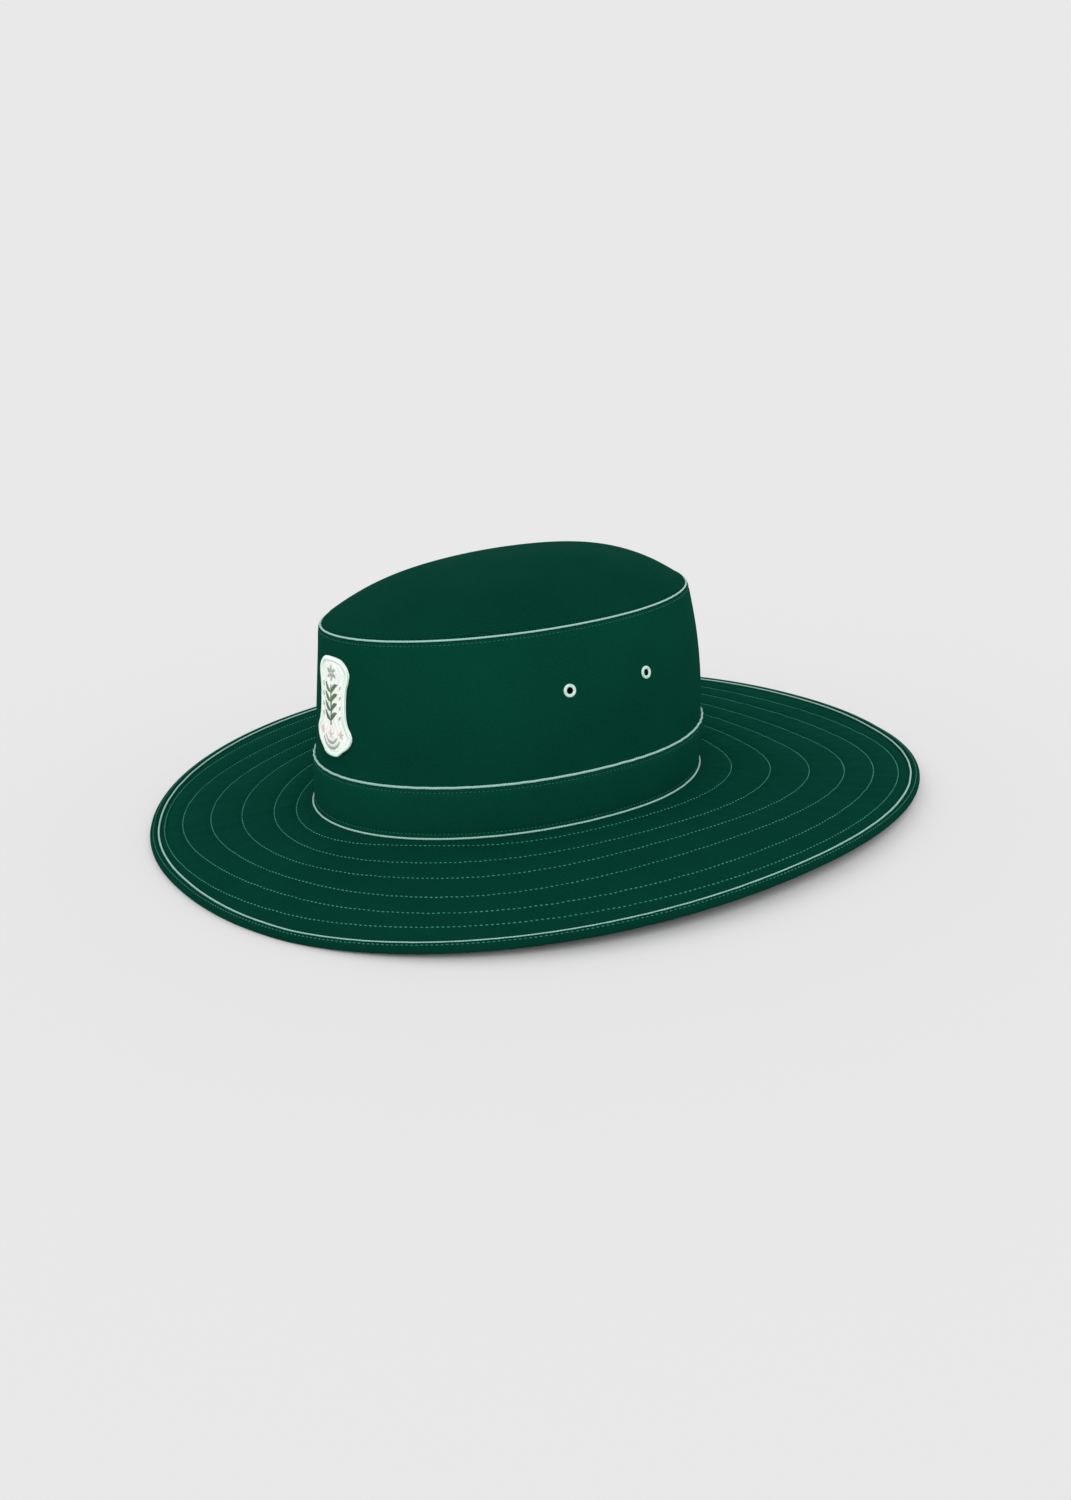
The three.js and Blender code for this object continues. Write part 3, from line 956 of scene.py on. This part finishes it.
cordMiddles = {"tip": tipCordMiddle, "band": bandCordMiddle, "foot": footCordMiddle, "brim": brimCordMiddle}
for k, (seam, middle) in enumerate(cordMiddles.items()):
    centres = middle(turnsOf(cordShape["rounds"]))
    cord = cordRing(seam + "_piping_cord", centres, pipingRadius[seam], cordShape["firstSeed"] + 2 * k)
    finishPiece(cord, finishes["piping"], "pale_piping", seam + "_piping")
print("piping ready")


# Stitches, placed along seam lines by one node tree

runningStitch = {
    "Pitch": 2.2,
    "Length": 1.45,
    "Width": 0.6,
    "Height": 0.46,
    "Turn": 0.0,                      # of each stitch from the seam's way, in radians
    "Unevenness": 0.05,
}
fineStitch = {**runningStitch, "Pitch": 2.0, "Length": 1.35, "Width": 0.46}
seamShape = {"points": 720, "lift": 0.10, "fineLift": 0.08}


def socketValue(label, size):
    return size if label in ("Turn", "Unevenness") else size * mm


def stitchTree(material):
    tree = bpy.data.node_groups.new("stitchesAlongSeam", "GeometryNodeTree")
    sockets = tree.interface
    sockets.new_socket("Seam", in_out="INPUT", socket_type="NodeSocketGeometry")
    for label, size in runningStitch.items():
        socket = sockets.new_socket(label, in_out="INPUT", socket_type="NodeSocketFloat")
        socket.default_value = socketValue(label, size)
    sockets.new_socket("Seed", in_out="INPUT", socket_type="NodeSocketInt")
    sockets.new_socket("Stitches", in_out="OUTPUT", socket_type="NodeSocketGeometry")
    given = tree.nodes.new("NodeGroupInput").outputs
    result = tree.nodes.new("NodeGroupOutput")

    def add(kind, inputs, **settings):
        return addNode(tree, kind, inputs, **settings).outputs[0]

    def attribute(name, kind):
        node = addNode(tree, "GeometryNodeInputNamedAttribute", {"Name": name}, data_type=kind)
        return node.outputs["Attribute"]

    curve = add("GeometryNodeMeshToCurve", {"Mesh": given["Seam"]})
    spots = add("GeometryNodeResampleCurve", {"Curve": curve, "Length": given["Pitch"]}, mode="LENGTH")
    tangent = add("GeometryNodeInputTangent", {})
    facing = add("FunctionNodeAxesToRotation", {
        "Primary Axis": attribute("up", "FLOAT_VECTOR"), "Secondary Axis": tangent},
        primary_axis="Z", secondary_axis="X")
    waver = addNode(tree, "FunctionNodeRandomValue", {
        2: -1.0, 3: 1.0, "Seed": given["Seed"]}, data_type="FLOAT")    # from -1 to 1
    uneven = combined(tree, "MULTIPLY", waver.outputs[1], given["Unevenness"])
    swing = add("ShaderNodeCombineXYZ", {"Z": combined(tree, "ADD", uneven, given["Turn"])})
    rotation = add("FunctionNodeRotateRotation", {
        "Rotation": facing, "Rotate By": swing}, rotation_space="LOCAL")
    stretch = combined(tree, "ADD", uneven, 1.0)
    span = combined(tree, "MULTIPLY", stretch, attribute("span", "FLOAT"))
    halves = [combined(tree, "MULTIPLY", given[label], 0.5) for label in ("Length", "Width", "Height")]
    longHalf = combined(tree, "MULTIPLY", halves[0], span)
    size = add("ShaderNodeCombineXYZ", {"X": longHalf, "Y": halves[1], "Z": halves[2]})
    bead = add("GeometryNodeMeshUVSphere", {"Segments": 6, "Rings": 5, "Radius": 1.0})
    placed = add("GeometryNodeInstanceOnPoints", {
        "Points": spots, "Instance": bead, "Rotation": rotation, "Scale": size})
    real = add("GeometryNodeRealizeInstances", {"Geometry": placed})
    smooth = add("GeometryNodeSetShadeSmooth", {"Geometry": real})
    coloured = add("GeometryNodeSetMaterial", {"Geometry": smooth, "Material": material})
    tree.links.new(coloured, result.inputs["Stitches"])
    return tree


def seamLines(name, lines):
    # each line is its places, which way is up there, how long the stitches are, and if it closes
    places, ups, spans, edges = [], [], [], []
    for linePlaces, lineUps, lineSpans, closed in lines:
        start, count = len(places), len(linePlaces)
        places += (linePlaces * mm).tolist()
        ups += lineUps.tolist()
        spans += np.broadcast_to(lineSpans, count).tolist()
        last = count if closed else count - 1
        edges += [(start + k, start + (k + 1) % count) for k in range(last)]
    mesh = bpy.data.meshes.new(name)
    mesh.from_pydata(places, edges, [])
    mesh.attributes.new("up", "FLOAT_VECTOR", "POINT").data.foreach_set("vector", np.array(ups).ravel())
    mesh.attributes.new("span", "FLOAT", "POINT").data.foreach_set("value", np.array(spans, float))
    return newObject(name, mesh)


def sewn(name, lines, material, slot, sizes, seed):
    guide = seamLines(name + "_line", lines)
    modifier = guide.modifiers.new("stitches", "NODES")
    modifier.node_group = stitchTree(material)
    values = {label: socketValue(label, size) for label, size in sizes.items()}
    values["Seed"] = seed
    for item in modifier.node_group.interface.items_tree:
        if item.in_out == "INPUT" and item.name in values:
            modifier[item.identifier] = values[item.name]
    mesh = finishedMesh(guide)
    bpy.data.objects.remove(guide)
    for unused in ("up", "span"):
        if unused in mesh.attributes:
            mesh.attributes.remove(mesh.attributes[unused])
    mesh.name = name
    finishPiece(newObject(name, mesh), None, slot)


seamTurns = turnsOf(seamShape["points"])


def ringLine(places, ups, lift):
    return (places[:, 0] + ups[:, 0] * lift, ups[:, 0], 1.0, True)


def upright(side):
    return points(0 * seamTurns, 0 * seamTurns, side + 0 * seamTurns)


def brimSeams(side):
    share = 1 if side > 0 else brimSurface["underShare"]
    lines = []
    for row in range(brimRowCount):
        margin = rowMargin(seamTurns, row)
        places = brimPoint(seamTurns, margin, side)
        places[..., 2] += side * brimRelief(seamTurns, margin) * share
        lines.append(ringLine(places, upright(side), seamShape["lift"]))
    return lines


def bindingSeam():
    margin = stitchRows["onBinding"] + 0 * seamTurns
    places = brimPoint(seamTurns, margin, 1, clothSize["binding"] + seamGap)
    places[..., 2] += bindingRelief(seamTurns, margin)
    return ringLine(places, upright(1), seamShape["fineLift"])


def crownSeams():
    bandFace = seamGap + clothSize["band"]
    lines = []
    for height, pointAt, outward in (
            (wallTop - stitchRows["underTip"], crownPoint, 0.0),
            (clothSize["bandHeight"] - stitchRows["underBandTop"], bandPoint, bandFace),
            (stitchRows["overBandFoot"], bandPoint, bandFace)):
        heights = height + 0 * seamTurns
        places = pointAt(seamTurns, heights, outward)
        lines.append(ringLine(places, wallNormal(seamTurns, heights), seamShape["fineLift"]))
    return lines


sewn("brim_stitches_top", brimSeams(1), finishes["thread"], "brim_cotton", runningStitch, 1)
sewn("brim_stitches_under", brimSeams(-1), finishes["thread"], "brim_cotton", runningStitch, 2)
sewn("binding_stitches", [bindingSeam()], finishes["tapeThread"], "binding_tape", fineStitch, 3)
sewn("crown_stitches", crownSeams(), finishes["deepThread"], "crown_cotton", fineStitch, 4)
print("stitches ready")


# Eyelets

eyeletShape = {
    "bore": 1.55,
    "barrel": 2.0,
    "flange": 3.1,
    "washer": 2.9,
    "washerBevel": 0.3,
    "sheet": 0.35,
    "rise": 0.55,
    "risePower": 0.7,
    "riseSteps": 13,
    "lip": 0.05,
    "boreLip": 0.12,
    "sides": 48,
}


def eyeletRing(name, place, shape):
    centre, outward = eyeletSpot(place)
    under, inside = seamGap / 2, hemOut
    middle, half = (shape["bore"] + shape["flange"]) / 2, (shape["flange"] - shape["bore"]) / 2
    profile = []
    for angle in np.linspace(0, math.pi, shape["riseSteps"]):
        rise = shape["rise"] * math.sin(angle) ** shape["risePower"]
        profile.append((middle - half * math.cos(angle), under + rise + shape["lip"]))
    profile[0] = (shape["bore"], under + shape["boreLip"])
    profile += [
        (shape["flange"], under),
        (shape["barrel"], under),
        (shape["barrel"], inside),
        (shape["washer"], inside),
        (shape["washer"], inside - shape["sheet"] / 2),
        (shape["bore"] + shape["washerBevel"], inside - shape["sheet"]),
        (shape["bore"], inside - shape["sheet"] / 2),
    ]
    profile = np.array(profile)
    across = unit(np.cross(outward, (0, 0, 1)))
    upward = np.cross(across, outward)
    angle = turnsOf(shape["sides"])
    radial = across * np.cos(angle)[..., None] + upward * np.sin(angle)[..., None]
    grid = centre + radial * profile[None, :, 0, None] + outward * profile[None, :, 1, None]
    return gridObject(name, grid)


for name, place in eyeletTurns.items():
    ring = eyeletRing(name + "_ring", place, eyeletShape)
    finishPiece(ring, finishes["enamel"], "pale_enamel", name)
print("eyelets ready")


# Badge: a plain embroidered patch with a leaf sprig

badgeShape = {
    "height": 57.4,
    "across": 2.6,
    "outline": (                      # height above the middle, and half the width there
        (23.5, 5.2), (20.8, 10.2), (17.2, 12.5), (13.4, 12.3), (9.2, 11.1), (3.6, 10.7), (-3.4, 10.9),
        (-7.8, 12.2), (-10.8, 14.2), (-14.0, 15.0), (-17.8, 13.0), (-21.0, 8.6), (-23.6, 4.2)),
    "curveSteps": 20,                 # between two points of the outline
    "rounds": 240,
    "rings": (0.03, 0.86, 24),        # first and last share of the way out, and how many
    "edgeRings": (0.91, 0.95, 0.98, 1.0),
    "backRings": (1.0, 0.6, 0.2),
    "thickness": 0.8,
    "edgeRound": 0.35,
    "roundWidth": 0.07,               # as a share of the way out
}


def smoothOutline(count):  # closed, rounded, equal steps
    right = np.array([(half, level) for level, half in badgeShape["outline"]])
    ring = np.concatenate([right, right[::-1] * (-1, 1)])
    spots = []
    for k in range(len(ring)):
        p0, p1, p2, p3 = (ring[(k + step) % len(ring)] for step in (-1, 0, 1, 2))
        for t in np.linspace(0, 1, badgeShape["curveSteps"], endpoint=False):
            spots.append(0.5 * (2 * p1 + (p2 - p0) * t + (2 * p0 - 5 * p1 + 4 * p2 - p3) * t ** 2
                                + (3 * p1 - p0 - 3 * p2 + p3) * t ** 3))
    spots = np.array(spots)
    gaps = np.linalg.norm(np.roll(spots, -1, 0) - spots, axis=1)
    run = np.concatenate([[0], np.cumsum(gaps)])
    closedSpots = np.concatenate([spots, spots[:1]])
    places = np.linspace(0, run[-1], count, endpoint=False)
    return np.stack([np.interp(places, run, closedSpots[:, k]) for k in range(2)], 1)


def insetOutline(count, inset):
    ring = smoothOutline(count)
    along = unit(np.roll(ring, -1, 0) - np.roll(ring, 1, 0))
    outward = np.stack([-along[:, 1], along[:, 0]], 1)
    return ring - outward * inset


def badgePoint(across, level, outward):
    height = badgeShape["height"] + level
    turn = (badgeShape["across"] + across) / readSection(height, "side")
    return crownPoint(turn, height, seamGap + outward), wallNormal(turn, height)


def badgeCloth(shape):
    ring = smoothOutline(shape["rounds"])

    def layer(shares, outward):
        across, level = ring[:, None, 0] * shares, ring[:, None, 1] * shares
        return badgePoint(across, level, outward + 0 * across)[0]

    shares = np.concatenate([np.linspace(*shape["rings"]), shape["edgeRings"]])
    rounding = shape["edgeRound"] * np.clip((shares - 1) / shape["roundWidth"] + 1, 0, 1) ** 2
    front = layer(shares, shape["thickness"] - rounding)
    back = layer(np.array(shape["backRings"]), 0.0)
    zero = np.array(0.0)
    poles = [badgePoint(zero, zero, zero + outward)[0] for outward in (shape["thickness"], 0)]
    return gridObject("badge_cloth", np.concatenate([front, back], axis=1), np.stack(poles))


def badgeLine(spots, lift, spans=1.0, closed=False):
    spots = np.array(spots, float)
    places, ups = badgePoint(spots[:, 0], spots[:, 1], badgeShape["thickness"] + lift + 0 * spots[:, 0])
    return (places, ups, spans, closed)


def halfWidthAt(ring, level):
    right = ring[ring[:, 0] > 0]
    order = np.argsort(right[:, 1])
    return np.interp(level, right[order, 1], right[order, 0])


groundShape = {
    "levels": (-22.0, 22.2, 0.62),    # from, to and pitch of the rows
    "inset": 1.6,
    "shortest": 1.5,
    "stagger": 0.27,                  # of each row from the last, in threes
    "steps": 24,
    "lift": 0.02,
}
leafShape = {"steps": 14, "bow": 0.12, "blunt": 0.04, "power": 0.7, "lift": 0.18}


def groundRows():
    ring = smoothOutline(badgeShape["rounds"])
    rows = []
    for k, level in enumerate(np.arange(*groundShape["levels"])):
        half = halfWidthAt(ring, level) - groundShape["inset"]
        if half > groundShape["shortest"]:
            start = k % 3 * groundShape["stagger"] - half
            spots = [(x, level) for x in np.linspace(start, half, groundShape["steps"])]
            rows.append(badgeLine(spots, groundShape["lift"]))
    return rows


def leaf(root, angle, length, width):
    shape = leafShape
    steps = np.linspace(0, 1, shape["steps"])
    bow = shape["bow"] * length * np.sin(np.pi * steps)
    x = root[0] + length * steps * math.cos(angle) - bow * math.sin(angle)
    y = root[1] + length * steps * math.sin(angle) + bow * math.cos(angle)
    blunted = np.linspace(shape["blunt"], 1 - shape["blunt"], shape["steps"])
    spans = width * np.sin(np.pi * blunted) ** shape["power"]
    return badgeLine(np.stack([x, y], 1), shape["lift"], spans)


stem = {"spots": ((0, -8.5), (0.25, -3), (-0.2, 3), (0, 10.5)), "lift": 0.15, "width": 0.9}
sprigLeaves = {
    "levels": (-6.5, -2.0, 2.5, 7.0),
    "sides": (1, -1),
    "across": 0.3,
    "lean": math.radians(48),         # from upright
    "length": 6.2,
    "width": 2.3,
}
seedLeaves = {
    "levels": (-5.4, -0.6, 4.2, 9.0),
    "sides": (-1, 1),
    "across": 6.9,
    "lean": 0.5,
    "length": 2.1,
    "width": 1.1,
}
flower = {"petals": 6, "length": 3.0, "width": 1.9, "start": 0.7}
bud = {"petals": 5, "length": 1.7, "width": 1.3, "start": 0.35}
flowerPlace = (0, 16.2)
budPlaces = ((-8.2, -12.4), (0, -13.2), (8.2, -12.4))
swag = {
    "middle": (0, -12.0),
    "radii": (8.0, 5.4),
    "from": math.radians(208),
    "to": math.radians(332),
    "steps": 26,
    "width": 1.5,
    "taper": 0.3,
    "lift": 0.15,
}


def leafPairs(shape):
    lines = []
    for level in shape["levels"]:
        for side in shape["sides"]:
            angle = math.pi / 2 - side * shape["lean"]
            lines.append(leaf((side * shape["across"], level), angle, shape["length"], shape["width"]))
    return lines


def petals(middle, shape):
    lines = []
    for k in range(shape["petals"]):
        angle = k * fullTurn / shape["petals"] + math.pi / 2
        root = (middle[0] + shape["start"] * math.cos(angle), middle[1] + shape["start"] * math.sin(angle))
        lines.append(leaf(root, angle, shape["length"], shape["width"]))
    return lines


def swagLines(shape):
    angles = np.linspace(shape["from"], shape["to"], shape["steps"])
    swell = 0.5 + 0.5 * np.sin(np.linspace(shape["taper"], math.pi - shape["taper"], shape["steps"]))
    lines = []
    for radius in shape["radii"]:
        arc = shape["middle"] + radius * np.stack([np.cos(angles), np.sin(angles)], 1)
        lines.append(badgeLine(arc, shape["lift"], shape["width"] * swell))
    return lines


satin = {**runningStitch, "Pitch": 0.46, "Length": 1.0, "Width": 0.52, "Height": 0.6, "Turn": math.pi / 2}
edgeSatin = {**satin, "Height": 0.95, "Width": 0.62}
groundStitch = {**runningStitch, "Pitch": 3.1, "Length": 3.3, "Height": 0.32, "Unevenness": 0.04}
badgeEdge = {"points": 400, "inset": 1.0, "lift": 0.05, "width": 2.5}

finishPiece(badgeCloth(badgeShape), finishes["white"], "white_embroidery", "badge")
edgeSpots = insetOutline(badgeEdge["points"], badgeEdge["inset"])
edgeLines = [badgeLine(edgeSpots, badgeEdge["lift"], badgeEdge["width"], True)]
sewn("badge_edge_stitches", edgeLines, finishes["mint"], "white_embroidery", edgeSatin, 5)
sewn("badge_ground_stitches", groundRows(), finishes["white"], "white_embroidery", groundStitch, 6)
sprigLines = [badgeLine(stem["spots"], stem["lift"], stem["width"])] + leafPairs(sprigLeaves)
sewn("badge_sprig_stitches", sprigLines, finishes["sage"], "white_embroidery", satin, 7)
greyLines = petals(flowerPlace, flower) + leafPairs(seedLeaves) + swagLines(swag)
sewn("badge_grey_stitches", greyLines, finishes["grey"], "white_embroidery", satin, 8)
budLines = [line for place in budPlaces for line in petals(place, bud)]
sewn("badge_bud_stitches", budLines, finishes["pink"], "white_embroidery", satin, 9)
print("badge ready")


# Floor, light and the picture's plain ground

studio = {
    "ground": (233, 233, 233),
    "floorShade": 0.7,
    "floorRoughness": 0.95,
    "floorSize": 80,                  # metres
    "sunAngle": 40,                   # the sun's own width, for soft shadows
    "sunTurn": 58,                    # degrees round from the hat's front
    "sunRise": 42,
}


def makeStudio(values):
    ground = linearColour(*values["ground"])
    world = bpy.data.worlds.new("studio")
    world.use_nodes = True
    world.node_tree.nodes["Background"].inputs["Color"].default_value = ground
    bpy.context.scene.world = world
    shade = values["floorShade"]
    sun = bpy.data.lights.new("sun", "SUN")
    sun.angle = math.radians(values["sunAngle"])
    rise = math.radians(values["sunRise"])
    # the floor comes out as bright as the ground behind it
    sun.energy = ground[0] * (1 - shade) / shade * math.pi / math.sin(rise)
    direction = outFromHat(math.radians(values["sunTurn"]), rise)
    newObject("sun", sun).rotation_euler = direction.to_track_quat("Z", "Y").to_euler()
    bpy.ops.mesh.primitive_plane_add(size=values["floorSize"])
    floor = bpy.context.object
    floor.name = "floor"
    material, _, shader, _ = startMaterial("floor_paper", values["floorRoughness"], 0.0)
    shader.inputs["Base Color"].default_value = (shade, shade, shade, 1)
    floor.data.materials.append(material)


makeStudio(studio)
bpy.context.scene.view_settings.view_transform = "Standard"
bpy.context.view_layer.update()

print("scene ready")
